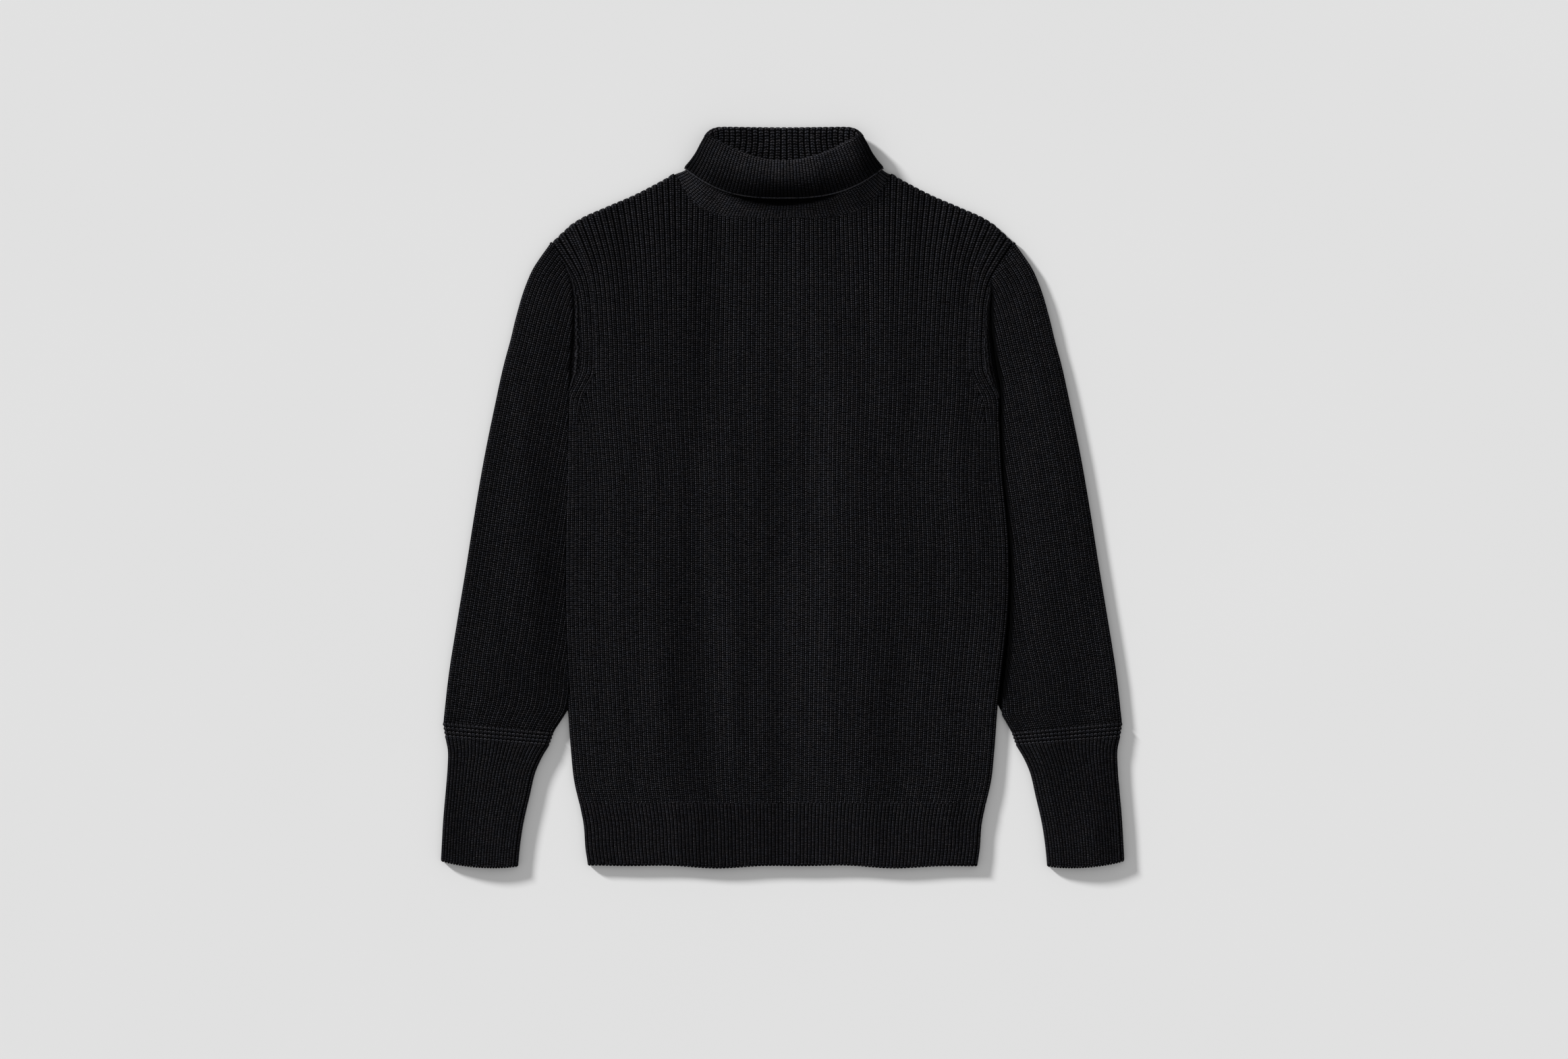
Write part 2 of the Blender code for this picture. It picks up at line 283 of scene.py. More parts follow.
def smooth_step(t):
    t = np.clip(t, 0.0, 1.0)
    return t * t * (3 - 2 * t)


def read(rows, key, column, at):
    """Read a column of a table at one key or many, on a smooth curve through its rows."""
    keys = np.array([getattr(row, key) for row in rows])
    values = np.array([getattr(row, column) for row in rows])
    slopes = np.gradient(values, keys)
    at = np.clip(at, keys[0], keys[-1])
    i = np.clip(np.searchsorted(keys, at) - 1, 0, len(keys) - 2)
    step = keys[i + 1] - keys[i]
    t = (at - keys[i]) / step
    value = values[i] * (1 + 2 * t) * (1 - t) ** 2 + values[i + 1] * t * t * (3 - 2 * t)
    return value + step * (slopes[i] * t * (1 - t) ** 2 - slopes[i + 1] * t * t * (1 - t))


def rib_positions(first, last, steps):
    """List the knit coordinate of each column: every rib gets the same few columns."""
    ribs = [rib + step for rib in range(first, last) for step in steps]
    return np.array(ribs + [float(last)])


def rib_height(ribs):
    """Give the height, 0 to 1, of a row of round ribs with narrow furrows at whole numbers."""
    across = np.abs(2 * (ribs - np.floor(ribs)) - 1)
    return (1 - across ** 3) ** 0.6


def grid_normals(points):
    across = np.gradient(points, axis=1)
    along = np.gradient(points, axis=0)
    normal = np.cross(across, along)
    length = np.linalg.norm(normal, axis=2, keepdims=True)
    return normal / np.maximum(length, 1e-12)


def lifted(points, height):
    """Move a grid of points out along its normals."""
    return points + grid_normals(points) * height[..., None]


def knit_grid(ribs, courses):
    return np.stack(np.broadcast_arrays(ribs, courses), axis=2)


def grid_faces(points, start, face_down):
    """Make the faces of a grid, turned so that most of them look up, or down."""
    rows, columns = points.shape[:2]
    r, c = np.meshgrid(np.arange(rows - 1), np.arange(columns - 1), indexing="ij")
    a = (start + r * columns + c).ravel()
    face = np.stack([a, a + 1, a + 1 + columns, a + columns], axis=1)
    across = points[:-1, 1:, :2] - points[:-1, :-1, :2]
    along = points[1:, :-1, :2] - points[:-1, :-1, :2]
    looks_down = np.sum(across[..., 0] * along[..., 1] - across[..., 1] * along[..., 0]) < 0
    return face[:, ::-1] if looks_down != face_down else face


def cloth_mesh(name, patches, materials):
    """Join patches into one piece. A patch is a grid of points, its knit grid and its slot."""
    points, knits, bakes, faces, slots, shades, opens = [], [], [], [], [], [], []
    start = 0
    widths = [patch["points"].shape[1] for patch in patches]
    left = 0.0
    for patch, width in zip(patches, widths):
        rows, columns = patch["points"].shape[:2]
        share = width / sum(widths)
        u = left + share * np.linspace(0.01, 0.99, columns)
        v = np.linspace(0.01, 0.99, rows)
        left += share
        points.append(patch["points"].reshape(-1, 3))
        knits.append(patch["knit"].reshape(-1, 2))
        bakes.append(np.stack(np.meshgrid(u, v), axis=2).reshape(-1, 2))
        shades.append((np.ones((rows, columns)) * patch.get("shade", 1.0)).ravel())
        opens.append((np.ones((rows, columns)) * patch.get("open", 0.0)).ravel())
        patch_faces = grid_faces(patch["points"], start, patch.get("face_down", False))
        faces.append(patch_faces)
        slots.append(np.full(len(patch_faces), patch.get("slot", 0)))
        start += rows * columns
    faces = np.concatenate(faces)
    mesh = bpy.data.meshes.new(name)
    mesh.vertices.add(start)
    mesh.vertices.foreach_set("co", np.concatenate(points).ravel())
    mesh.loops.add(faces.size)
    mesh.loops.foreach_set("vertex_index", faces.ravel())
    mesh.polygons.add(len(faces))
    mesh.polygons.foreach_set("loop_start", np.arange(0, faces.size, 4))
    mesh.polygons.foreach_set("material_index", np.concatenate(slots))
    for layer, values in (("OFBake", bakes), ("knit", knits)):
        uv = mesh.uv_layers.new(name=layer)
        uv.data.foreach_set("uv", np.concatenate(values)[faces.ravel()].ravel())
    for layer, values in (("shade", shades), ("open", opens)):
        attribute = mesh.attributes.new(layer, "FLOAT", "POINT")
        attribute.data.foreach_set("value", np.concatenate(values))
    mesh.update(calc_edges=True)
    mesh.validate()
    mesh.shade_smooth()
    for material in materials:
        mesh.materials.append(material)
    piece = bpy.data.objects.new(name, mesh)
    bpy.context.scene.collection.objects.link(piece)
    return piece


# Wool

SHADE_PER_METRE = 90.0    # painted shade in a crease's trough and painted light on its ridge, per metre of depth


class Nodes:
    """A short way to write a material's maths."""

    def __init__(self, material):
        self.tree = material.node_tree

    def new(self, kind, **settings):
        node = self.tree.nodes.new(kind)
        for key, value in settings.items():
            setattr(node, key, value)
        return node

    def put(self, socket, value):
        if hasattr(value, "is_linked"):
            self.tree.links.new(value, socket)
        else:
            socket.default_value = value

    def math(self, operation, *values):
        node = self.new("ShaderNodeMath", operation=operation)
        for socket, value in zip(node.inputs, values):
            self.put(socket, value)
        return node.outputs[0]

    def noise(self, vector, scale, detail=2.0):
        node = self.new("ShaderNodeTexNoise")
        self.put(node.inputs["Vector"], vector)
        node.inputs["Scale"].default_value = scale
        node.inputs["Detail"].default_value = detail
        return node.outputs["Fac"]

    def ramp(self, value, first, last, *others):
        """Turn a value into a colour. Each stop is a position and its colour."""
        node = self.new("ShaderNodeValToRGB")
        stops = node.color_ramp.elements
        stops[0].position, stops[0].color = first
        stops[1].position, stops[1].color = last
        for position, color in others:
            stops.new(position).color = color
        self.put(node.inputs["Fac"], value)
        return node.outputs["Color"]


# The darkest colour is the painted shade in furrows, gaps and creases
YARN_IN_SHADE = (0.0001, 0.0001, 0.0002, 1.0)
YARN_MID = (0.0052, 0.0051, 0.0060, 1.0)
YARN_LIGHT = (0.0518, 0.0519, 0.0572, 1.0)
DYE_BLUE = (0.89, 0.92, 1.00, 1.0)
DYE_WARM = (1.00, 0.95, 0.94, 1.0)
WOOL_SPECULAR = 0.02
WOOL_ROUGHNESS = 0.85
WOOL_SHEEN = 0.006
BUMP_STRENGTH = 0.7
BUMP_DISTANCE = 0.0005
COURSE_NOISE = 300.0            # scales of the noise that moves the courses,
STREAK_NOISE = 34.0             # shades the cloth in streaks,
FIBRE_NOISE = 1100.0            # makes its fibres
DYE_NOISE = 150.0               # and turns the black warmer or cooler


def knit_wool(name, rise, row_depth, furrow_width, groove_depth, jitter=1.0, purl=False):
    """Make the wool of one piece. rise is how far a stitch's legs climb to the rib's middle, as a
    part of a course; row_depth is how dark the painted shade between courses is, furrow_width how
    wide the painted shade between two ribs is, and groove_depth how dark the painted shade between a
    stitch's two legs is. jitter is how unevenly the courses run, and purl is for ridges."""
    material = bpy.data.materials.new(name)
    material.use_nodes = True
    nodes = Nodes(material)
    shader = material.node_tree.nodes["Principled BSDF"]
    knit = nodes.new("ShaderNodeUVMap", uv_map="knit").outputs["UV"]
    place = nodes.new("ShaderNodeTexCoord").outputs["Object"]
    split = nodes.new("ShaderNodeSeparateXYZ")
    nodes.put(split.inputs[0], knit)
    rib = split.outputs["X"]
    each_rib = nodes.math("FLOOR", rib)
    chance = nodes.new("ShaderNodeTexWhiteNoise", noise_dimensions="1D")
    nodes.put(chance.inputs["W"], each_rib)
    wobble = nodes.math("MULTIPLY_ADD", nodes.noise(place, COURSE_NOISE), 1.2 * jitter, -0.6 * jitter)
    course = nodes.math("ADD", split.outputs["Y"], wobble)
    course = nodes.math("MULTIPLY_ADD", chance.outputs["Value"], 0.4 * jitter, course)
    across = nodes.math("ABSOLUTE", nodes.math("MULTIPLY_ADD", nodes.math("FRACT", rib), 2.0, -1.0))
    lean = nodes.math("MULTIPLY", nodes.math("SUBTRACT", 1.0, across), rise)
    level = nodes.math("SUBTRACT", course, lean)
    phase = nodes.math("FRACT", level)
    stitch_at = nodes.new("ShaderNodeCombineXYZ")
    nodes.put(stitch_at.inputs["X"], each_rib)
    nodes.put(stitch_at.inputs["Y"], nodes.math("FLOOR", level))
    luck = nodes.new("ShaderNodeTexWhiteNoise", noise_dimensions="2D")
    nodes.put(luck.inputs["Vector"], stitch_at.outputs[0])
    loop = nodes.math("SINE", nodes.math("MULTIPLY", phase, math.pi))
    row = nodes.math("MULTIPLY_ADD", nodes.math("POWER", loop, 1.6), row_depth, 1.0 - row_depth)
    edge = nodes.new("ShaderNodeMapRange", interpolation_type="SMOOTHSTEP")
    nodes.put(edge.inputs["Value"], across)
    # Where the ribs spread, the painted shade in their furrows is wider
    spread = nodes.new("ShaderNodeAttribute", attribute_name="open").outputs["Fac"]
    furrow_start = nodes.math("MULTIPLY_ADD", spread, -0.30, 1.0 - furrow_width * 2)
    nodes.put(edge.inputs["From Min"], furrow_start)
    edge.inputs["From Max"].default_value = 1.0
    edge.inputs["To Min"].default_value = 1.0
    edge.inputs["To Max"].default_value = 0.06 if purl else 0.03
    middle = nodes.math("POWER", nodes.math("SUBTRACT", 1.0, across), 2.5)
    groove = nodes.math("MULTIPLY_ADD", middle, -groove_depth, 1.0)
    stitch = nodes.math("MULTIPLY", nodes.math("MULTIPLY", row, edge.outputs[0]), groove)
    stretch = nodes.new("ShaderNodeMapping")
    nodes.put(stretch.inputs["Vector"], place)
    stretch.inputs["Scale"].default_value = (1.0, 0.12, 1.0)
    streak = nodes.math("MULTIPLY_ADD", nodes.noise(stretch.outputs[0], STREAK_NOISE), 0.44, 0.75)
    streak = nodes.math("ADD", streak, nodes.math("MULTIPLY_ADD", chance.outputs["Value"], 0.08, -0.04))
    # The shade attribute carries each piece's painted shade and painted light
    shade = nodes.new("ShaderNodeAttribute", attribute_name="shade").outputs["Fac"]
    fibre = nodes.math("MULTIPLY_ADD", nodes.noise(place, FIBRE_NOISE, 3.0), 1.7, 0.15)
    fibre = nodes.math("MULTIPLY", fibre, nodes.math("MULTIPLY_ADD", luck.outputs["Value"], 0.2, 0.9))
    lit = nodes.math("MULTIPLY", stitch, nodes.math("MULTIPLY", streak, shade))
    tone = nodes.math("MULTIPLY", lit, fibre)
    dye = nodes.new("ShaderNodeMix", data_type="RGBA", blend_type="MULTIPLY")
    dye.inputs["Factor"].default_value = 1.0
    nodes.put(dye.inputs[6], nodes.ramp(tone, (0.04, YARN_IN_SHADE), (1.0, YARN_LIGHT), (0.46, YARN_MID)))
    nodes.put(dye.inputs[7], nodes.ramp(nodes.noise(place, DYE_NOISE), (0.38, DYE_BLUE), (0.62, DYE_WARM)))
    nodes.put(shader.inputs["Base Color"], dye.outputs[2])
    rough = nodes.math("MULTIPLY_ADD", fibre, 0.10, WOOL_ROUGHNESS - 0.10)
    nodes.put(shader.inputs["Roughness"], rough)
    shader.inputs["Specular IOR Level"].default_value = WOOL_SPECULAR
    shader.inputs["Sheen Weight"].default_value = WOOL_SHEEN
    shader.inputs["Sheen Roughness"].default_value = 0.5
    bump = nodes.new("ShaderNodeBump")
    bump.inputs["Strength"].default_value = BUMP_STRENGTH
    bump.inputs["Distance"].default_value = BUMP_DISTANCE
    nodes.put(bump.inputs["Height"], nodes.math("MULTIPLY", stitch, fibre))
    nodes.put(shader.inputs["Normal"], bump.outputs["Normal"])
    material.diffuse_color = YARN_MID
    return material


# Body

def top_edge_y(x, neck_y, square):
    """Give the upper edge of the body: the neckline, and the shoulder line beside it."""
    drop = 1 - np.minimum(1.0, np.abs(x) / NECK_HALF) ** square
    neck = between(NECK_SIDE_Y, neck_y, drop)
    return np.where(np.abs(x) <= NECK_HALF, neck, read(SHOULDER, "x", "y", np.abs(x)))


def side_half(y, hand):
    """Give the body's half width: it lies a little further out on the right than on the left."""
    swell = SIDE_SWELL * smooth_step(1 - np.abs(y - SWELL_Y) / SWELL_LENGTH)
    return read(BODY_SIDE, "y", "half_width", y) + np.sign(hand) * swell


def kept_ribs(ribs, y):
    """Count ribs from the last one that never ends, out to the side, without the dropped ones."""
    inner = UPPER_RIBS - EDGE_RIBS
    count = np.zeros(np.broadcast_shapes(ribs.shape, y.shape))
    total = np.full_like(count, float(EDGE_RIBS))
    step = (DROP_HIGH_Y - DROP_LOW_Y) / DROPPED_RIBS
    for k in range(DROPPED_RIBS):
        ends_at = DROP_HIGH_Y - k * step
        kept = smooth_step((ends_at - y) / 0.006 + 0.5)
        count = count + np.clip(ribs - inner - k, 0.0, 1.0) * kept
        total = total + kept
    return count + np.maximum(0.0, ribs - inner - DROPPED_RIBS), total


def crease_height(x, y):
    height = np.zeros_like(x)
    for crease in CREASES:
        along = (y - crease.y) / crease.length
        across = (x - crease.x - crease.lean * (y - crease.y)) / crease.width
        height = height + crease.depth * np.exp(-across ** 2 - along ** 4)
    return height


def front_level(x, y, half):
    share = np.clip(np.abs(x) / half, 0.0, 1.0)
    climb = (y - HEM_SEAM_Y) / (NECK_SIDE_Y - HEM_SEAM_Y)
    along = np.sin(np.pi * np.clip(0.1 + 0.9 * climb, 0.0, 1.0))
    return TOP_EDGE + BODY_CROWN * (1 - share ** 2) * along + crease_height(x, y) * (1 - share ** 6)


def body_grid(ribs, rows, neck_y, square, inset):
    """Lay the ribs of a body panel out in plan, from the hem's seam to the upper edge."""
    hand = np.sign(ribs)
    ribs = np.abs(ribs)[None, :]
    inner = UPPER_RIBS - EDGE_RIBS
    top_count = np.minimum(ribs, inner) + kept_ribs(ribs, np.array([[SHOULDER_TIP_Y]]))[0]
    top_x = read(TOP_FAN, "rib", "x", top_count)
    shoulder_share = smooth_step((top_x - NECK_HALF + 0.003) / 0.012)
    top_y = top_edge_y(top_x, neck_y, square) - inset * shoulder_share
    climb = rows[:, None]
    y = between(HEM_SEAM_Y, top_y, climb)
    half = side_half(y, hand[None, :])
    chest_half = side_half(np.array(CHEST_Y), 1.0)
    # The middle ribs spread evenly, and the outer ones share what is left up to the side
    spread = smooth_step((CHEST_Y - y) / (CHEST_Y - EVEN_Y))
    pitch = between(chest_half / UPPER_RIBS, half / BODY_RIBS, spread)
    count, total = kept_ribs(ribs, y)
    lower = np.minimum(ribs, inner) * pitch + count / total * (half - inner * pitch)
    count = np.minimum(ribs, inner) + count
    rise = np.clip((y - CHEST_Y) / (top_y - CHEST_Y), 0.0, 1.0)
    seam_y = CHEST_Y + rise * (SHOULDER_TIP_Y - CHEST_Y)
    seam = (side_half(seam_y, 1.0) - chest_half) / (BODY_SIDE[-1].half_width - chest_half)
    follow = (count / UPPER_RIBS) ** 2.5
    bend = between(rise ** 1.25, seam, follow)
    upper = between(count * chest_half / UPPER_RIBS, top_x, bend)
    x = np.where(y > CHEST_Y, upper, lower)
    edge = np.minimum(1.0, ribs / BODY_RIBS)
    x = x - FOLD * edge ** 8
    return hand[None, :] * x, y, half, shoulder_share


def folded_sides(points):
    """Add columns that fold a panel's two sides down."""
    turned_left, turned_right = [], []
    for angle in SIDE_ANGLES:
        for turned, edge in ((turned_left, points[:, 0]), (turned_right, points[:, -1])):
            out = edge.copy()
            out[:, 0] += np.sign(edge[:, 0]) * FOLD * math.sin(angle)
            out[:, 2] = np.maximum(LOW_EDGE, edge[:, 2] - FOLD * (1 - math.cos(angle)) * FOLD_DEPTH)
            turned.append(out[:, None])
    return np.concatenate(turned_left[::-1] + [points] + turned_right, axis=1)


def with_lip(points, angles, fall=1.0):
    """Add rows that turn a grid's last row down, over the end of the cloth."""
    rows = [points]
    for angle in angles:
        turn = math.radians(angle)
        row = points[-1].copy()
        row[:, 1] -= LIP * math.sin(turn)
        row[:, 2] -= LIP * (1 - math.cos(turn)) * fall
        rows.append(row[None])
    return np.concatenate(rows)


def side_ribs(ribs, pitch):
    """Number the columns that folded_sides adds, at the rib width given."""
    extra = FOLD * np.array(SIDE_ANGLES) / pitch
    return np.concatenate([ribs[0] - extra[::-1], ribs, ribs[-1] + extra])


def front_piece(wool):
    ribs = rib_positions(-BODY_RIBS, BODY_RIBS, RIB_STEPS)
    rows = np.concatenate([np.linspace(0.0, 0.90, 80), np.linspace(0.90, 1.0, 22)[1:]])
    x, y, half, shoulder = body_grid(ribs, rows, FRONT_NECK_Y, FRONT_SQUARE, FRONT_INSET)
    z = front_level(x, y, half)
    # The upper edge turns over the shoulder, and dips under the rollneck along the neckline
    base = np.stack([x, y, z], axis=2)
    direction = base[-1, :, :2] - base[-4, :, :2]
    direction /= np.linalg.norm(direction, axis=1, keepdims=True)
    turned = []
    radius = between(0.0010, FOLD, shoulder[0])
    for angle in SHOULDER_ANGLES:
        row = base[-1].copy()
        row[:, :2] += direction * (radius * math.sin(angle))[:, None]
        row[:, 2] -= radius * (1 - math.cos(angle)) * SHOULDER_FOLD_DEPTH
        turned.append(row[None])
    base = np.concatenate([base] + turned)
    base[:, :, 2] = np.maximum(base[:, :, 2], LOW_EDGE)
    points = folded_sides(base)
    pitch = 2 * BODY_SIDE[0].half_width / (2 * BODY_RIBS)
    all_ribs = side_ribs(ribs, pitch)
    high = smooth_step((points[..., 1] - 0.10) / 0.20)
    aside = smooth_step((np.abs(points[..., 0]) - 0.09) / 0.12)
    spread = np.clip(0.85 * high + 0.35 * aside, 0.0, 1.0)
    rib_width = np.gradient(points[..., 0], axis=1) / np.gradient(all_ribs)[None, :]
    present = smooth_step((rib_width / BODY_RIB - 0.20) / 0.30)
    present = np.where(np.abs(all_ribs)[None, :] < BODY_RIBS - EDGE_RIBS + 0.5, present, 1.0)
    relief = rib_height(all_ribs)[None, :] * (0.85 + 0.40 * spread) * present
    # Painted shade on the right side's fold below the armhole, where the body turns away from the light,
    # and where a dropped rib narrows to nothing, as dark as a furrow. The cloth is lighter where the ribs
    # spread, against their wider painted furrows, and the creases add painted shade in troughs and painted
    # light on ridges.
    beside = (all_ribs > BODY_RIBS + 0.5)[None, :] * smooth_step((0.125 - points[..., 1]) / 0.02)
    shade = (1.0 - 0.8 * beside) * (1.0 + 0.22 * spread) * (0.1 + 0.9 * present)
    shade = shade + SHADE_PER_METRE * crease_height(points[..., 0], points[..., 1])
    courses = points[..., 1] / BODY_COURSE
    courses[len(rows):] += np.arange(1, len(SHOULDER_ANGLES) + 1)[:, None] * 0.4
    points = lifted(points, BODY_RELIEF * relief)
    knit = knit_grid(all_ribs[None, :], courses)
    return cloth_mesh("front_knit", [dict(points=points, knit=knit, shade=shade, open=spread)], [wool])


def back_piece(wool):
    ribs = rib_positions(-BODY_RIBS, BODY_RIBS, (0.0, 0.25, 0.5, 0.75))
    rows = np.linspace(0.0, 1.0, 60)
    x, y = body_grid(ribs, rows, BACK_NECK_Y, BACK_SQUARE, BACK_INSET)[:2]
    z = np.full_like(x, UNDER_TOP)
    points = np.stack([x, y, z], axis=2)
    lip = points[:, [0]] + np.array([-0.0016, 0, 0.0008])
    rim = points[:, [-1]] + np.array([0.0016, 0, 0.0008])
    points = np.concatenate([lip, points, rim], axis=1)
    all_ribs = np.concatenate([[ribs[0] - 0.4], ribs, [ribs[-1] + 0.4]])
    relief = rib_height(all_ribs)[None, :] * np.ones((len(points), 1))
    points = lifted(points, BACK_RELIEF * relief)
    knit = knit_grid(all_ribs[None, :], points[..., 1] / BODY_COURSE)
    return cloth_mesh("back_knit", [dict(points=points, knit=knit)], [wool])


def hem_piece(name, wool, upper):
    half_ribs = HEM_RIBS // 2
    ribs = rib_positions(-half_ribs, half_ribs, FINE_STEPS if upper else (0.0, 0.5))
    rows = np.linspace(0.0, 1.0, 26)
    y = between(HEM_SIDE[-1].y + HEM_TUCK, HEM_SIDE[0].y, rows)[:, None] * np.ones((1, len(ribs)))
    half = read(HEM_SIDE, "y", "half_width", y)
    x = ribs[None, :] / half_ribs * (half - FOLD)
    # The lower edge isn't quite straight, and the seam above it is gathered a little
    y = y + (0.0012 * np.sin(x * 34 + 0.6) - 0.0007 * np.sin(x * 71)) * rows[:, None] ** 2
    y = y + 0.0006 * np.sin(x * 60 + 1.0) * (1 - rows[:, None]) ** 3
    share = np.clip(np.abs(x) / half, 0, 1)
    if upper:
        z = TOP_EDGE + 0.31 * BODY_CROWN * (1 - share ** 2)
        z = z + crease_height(x, np.full_like(x, HEM_SEAM_Y)) * (1 - rows[:, None]) * (1 - share ** 6)
        z = z - 0.0006 * np.exp(-(rows[:, None] / 0.035) ** 2)
    else:
        z = np.full_like(x, UNDER_TOP)
    base = np.stack([x, y, z], axis=2)
    if upper:
        points = folded_sides(with_lip(base, LIP_ANGLES))
        all_ribs = side_ribs(ribs, HEM_RIB)
    else:
        points = with_lip(base, UNDER_LIP_ANGLES, fall=-0.5)
        all_ribs = ribs
    relief = rib_height(all_ribs)[None, :] * np.ones((len(points), 1))
    courses = points[..., 1] / HEM_COURSE
    points = lifted(points, -HEM_RELIEF * relief)
    knit = knit_grid(all_ribs[None, :], courses)
    return cloth_mesh(name, [dict(points=points, knit=knit)], [wool])


# Sleeves and cuffs

def outer_curve(count):
    """Walk down a sleeve's outer edge in even steps: points, inward normals and lengths."""
    knots = np.array([[row.x, row.y] for row in SLEEVE_OUTER])
    chord = np.concatenate([[0], np.cumsum(np.linalg.norm(np.diff(knots, axis=0), axis=1))])
    Knot = namedtuple("Knot", "s x y")
    rows = [Knot(s, x, y) for s, (x, y) in zip(chord, knots)]
    s = np.linspace(0, chord[-1], count)
    points = np.stack([read(rows, "s", "x", s), read(rows, "s", "y", s)], axis=1)
    tangent = np.gradient(points, axis=0)
    tangent /= np.linalg.norm(tangent, axis=1, keepdims=True)
    smooth = np.stack([np.convolve(np.pad(tangent[:, k], 40, mode="edge"), np.ones(81) / 81, "valid")
                       for k in range(2)], axis=1)
    smooth /= np.linalg.norm(smooth, axis=1, keepdims=True)
    inward = np.stack([smooth[:, 1], -smooth[:, 0]], axis=1)
    return points, inward, s


def sleeve_edge(side, y):
    """Give the X of a sleeve's inner fold, which is tucked in beside the body above the wrist."""
    return read(SLEEVE_INNER, "y", side, y) - SLEEVE_TUCK * smooth_step((y + 0.214) / 0.020)


def sleeve_paths(side, steps, rows):
    """Follow each rib of a sleeve from the armhole or the inner edge to the cuff, in plan."""
    points, inward, s = outer_curve(600)
    ribs = rib_positions(0, SLEEVE_RIBS, steps)
    reach = np.linspace(0, 0.140, 400)
    # Width of the sleeve along each inward line
    line = points[:, None] + inward[:, None] * reach[None, :, None]
    inside = line[..., 0] > sleeve_edge(side, line[..., 1])
    width = reach[np.argmin(inside, axis=1)]
    share = smooth_step((s / s[-1] - 0.80) / 0.18)
    grid = np.zeros((rows, len(ribs), 3))
    for k, rib in enumerate(ribs):
        distance = between(rib * SLEEVE_RIB, rib / SLEEVE_RIBS * width, share)
        path = points + inward * distance[:, None]
        within = distance <= width + 1e-9
        within[-1] = True
        # The rib starts where it last comes in from beyond the inner edge
        beyond = np.nonzero(~within)[0]
        first = beyond[-1] + 1 if len(beyond) else 0
        first = min(first, len(s) - 2)
        at = np.linspace(s[first], s[-1], rows)
        grid[:, k, 0] = np.interp(at, s, path[:, 0])
        grid[:, k, 1] = np.interp(at, s, path[:, 1])
        grid[:, k, 2] = at
    return grid, ribs, width, s


def sleeve_piece(name, hand, wool):
    side = "left" if hand < 0 else "right"
    grid, ribs, width, s = sleeve_paths(side, RIB_STEPS, 90)
    x, y, along = grid[..., 0], grid[..., 1], grid[..., 2]
    local_width = np.interp(along, s, width)
    edge = sleeve_edge(side, y)
    tuck = SLEEVE_TUCK
    if hand > 0:
        tuck = SLEEVE_TUCK + RIGHT_TUCK * (1 + 2 * smooth_step((-0.05 - y) / 0.12))
    drop = np.clip((x - edge) / tuck, 0.0, 1.0)
    across = np.clip((x - edge) / np.maximum(local_width, 0.02), 0, 1)
    crown = SLEEVE_CROWN * np.sin(np.pi * across) * smooth_step(along / 0.12 + 0.15)
    z = LOW_EDGE + (TOP_EDGE - LOW_EDGE) * np.sqrt(1 - (1 - drop) ** 2) + crown
    z = z - 0.0013 * np.exp(-((s[-1] - along) / 0.0022) ** 2)
    # Painted shade on the inner fold above the wrist, where it turns down beside the body: deep on the
    # right, in the gap's shadow, milder on the left
    above_wrist = smooth_step((y + 0.206) / 0.006)
    shade = 1.0 - (0.93 if hand > 0 else 0.5) * above_wrist * (1 - smooth_step(drop * 1.6 - 0.6))
    base = np.stack([x, y, z], axis=2)
    # The outer edge folds down
    outward = np.stack([np.gradient(base[:, 0, 1]), -np.gradient(base[:, 0, 0])], axis=1)
    outward /= -np.linalg.norm(outward, axis=1, keepdims=True)
    folds = []
    for angle in SIDE_ANGLES:
        column = base[:, 0].copy()
        column[:, :2] += outward * (FOLD * (math.sin(angle) - 1))
        fall = FOLD * (1 - math.cos(angle)) * SLEEVE_FOLD_DEPTH
        column[:, 2] = np.maximum(LOW_EDGE, column[:, 2] - fall)
        folds.append(column[:, None])
    inset = np.exp(-ribs / 0.8)[None, :]
    base[..., :2] -= outward[:, None] * (FOLD * inset)[..., None]
    base = np.concatenate(folds[::-1] + [base], axis=1)
    all_ribs = np.concatenate([-(FOLD * np.array(SIDE_ANGLES) / SLEEVE_RIB)[::-1], ribs])
    relief = rib_height(all_ribs)[None, :] * np.ones((len(base), 1))
    courses = np.concatenate([along[:, :1]] * len(SIDE_ANGLES) + [along], axis=1) / -SLEEVE_COURSE
    points = lifted(base, SLEEVE_RELIEF * relief)
    points[..., 0] *= hand
    shade = np.concatenate([np.ones((len(x), len(SIDE_ANGLES))), shade], axis=1)
    # Lighter near the armhole, where the ribs spread, against their wider painted furrows; the left sleeve
    # a little darker than the right
    spread = 0.7 * smooth_step(1 - courses * -SLEEVE_COURSE / 0.20)
    shade = shade * (1.0 + 0.35 * spread) * (0.93 if hand < 0 else 0.98)
    knit = knit_grid(all_ribs[None, :] * hand, courses)
    patches = [dict(points=points, knit=knit, shade=shade, open=spread)]
    patches.append(armhole_strip(side, hand))
    patches.append(sleeve_underside(side, hand))
    return cloth_mesh(name, patches, [wool])


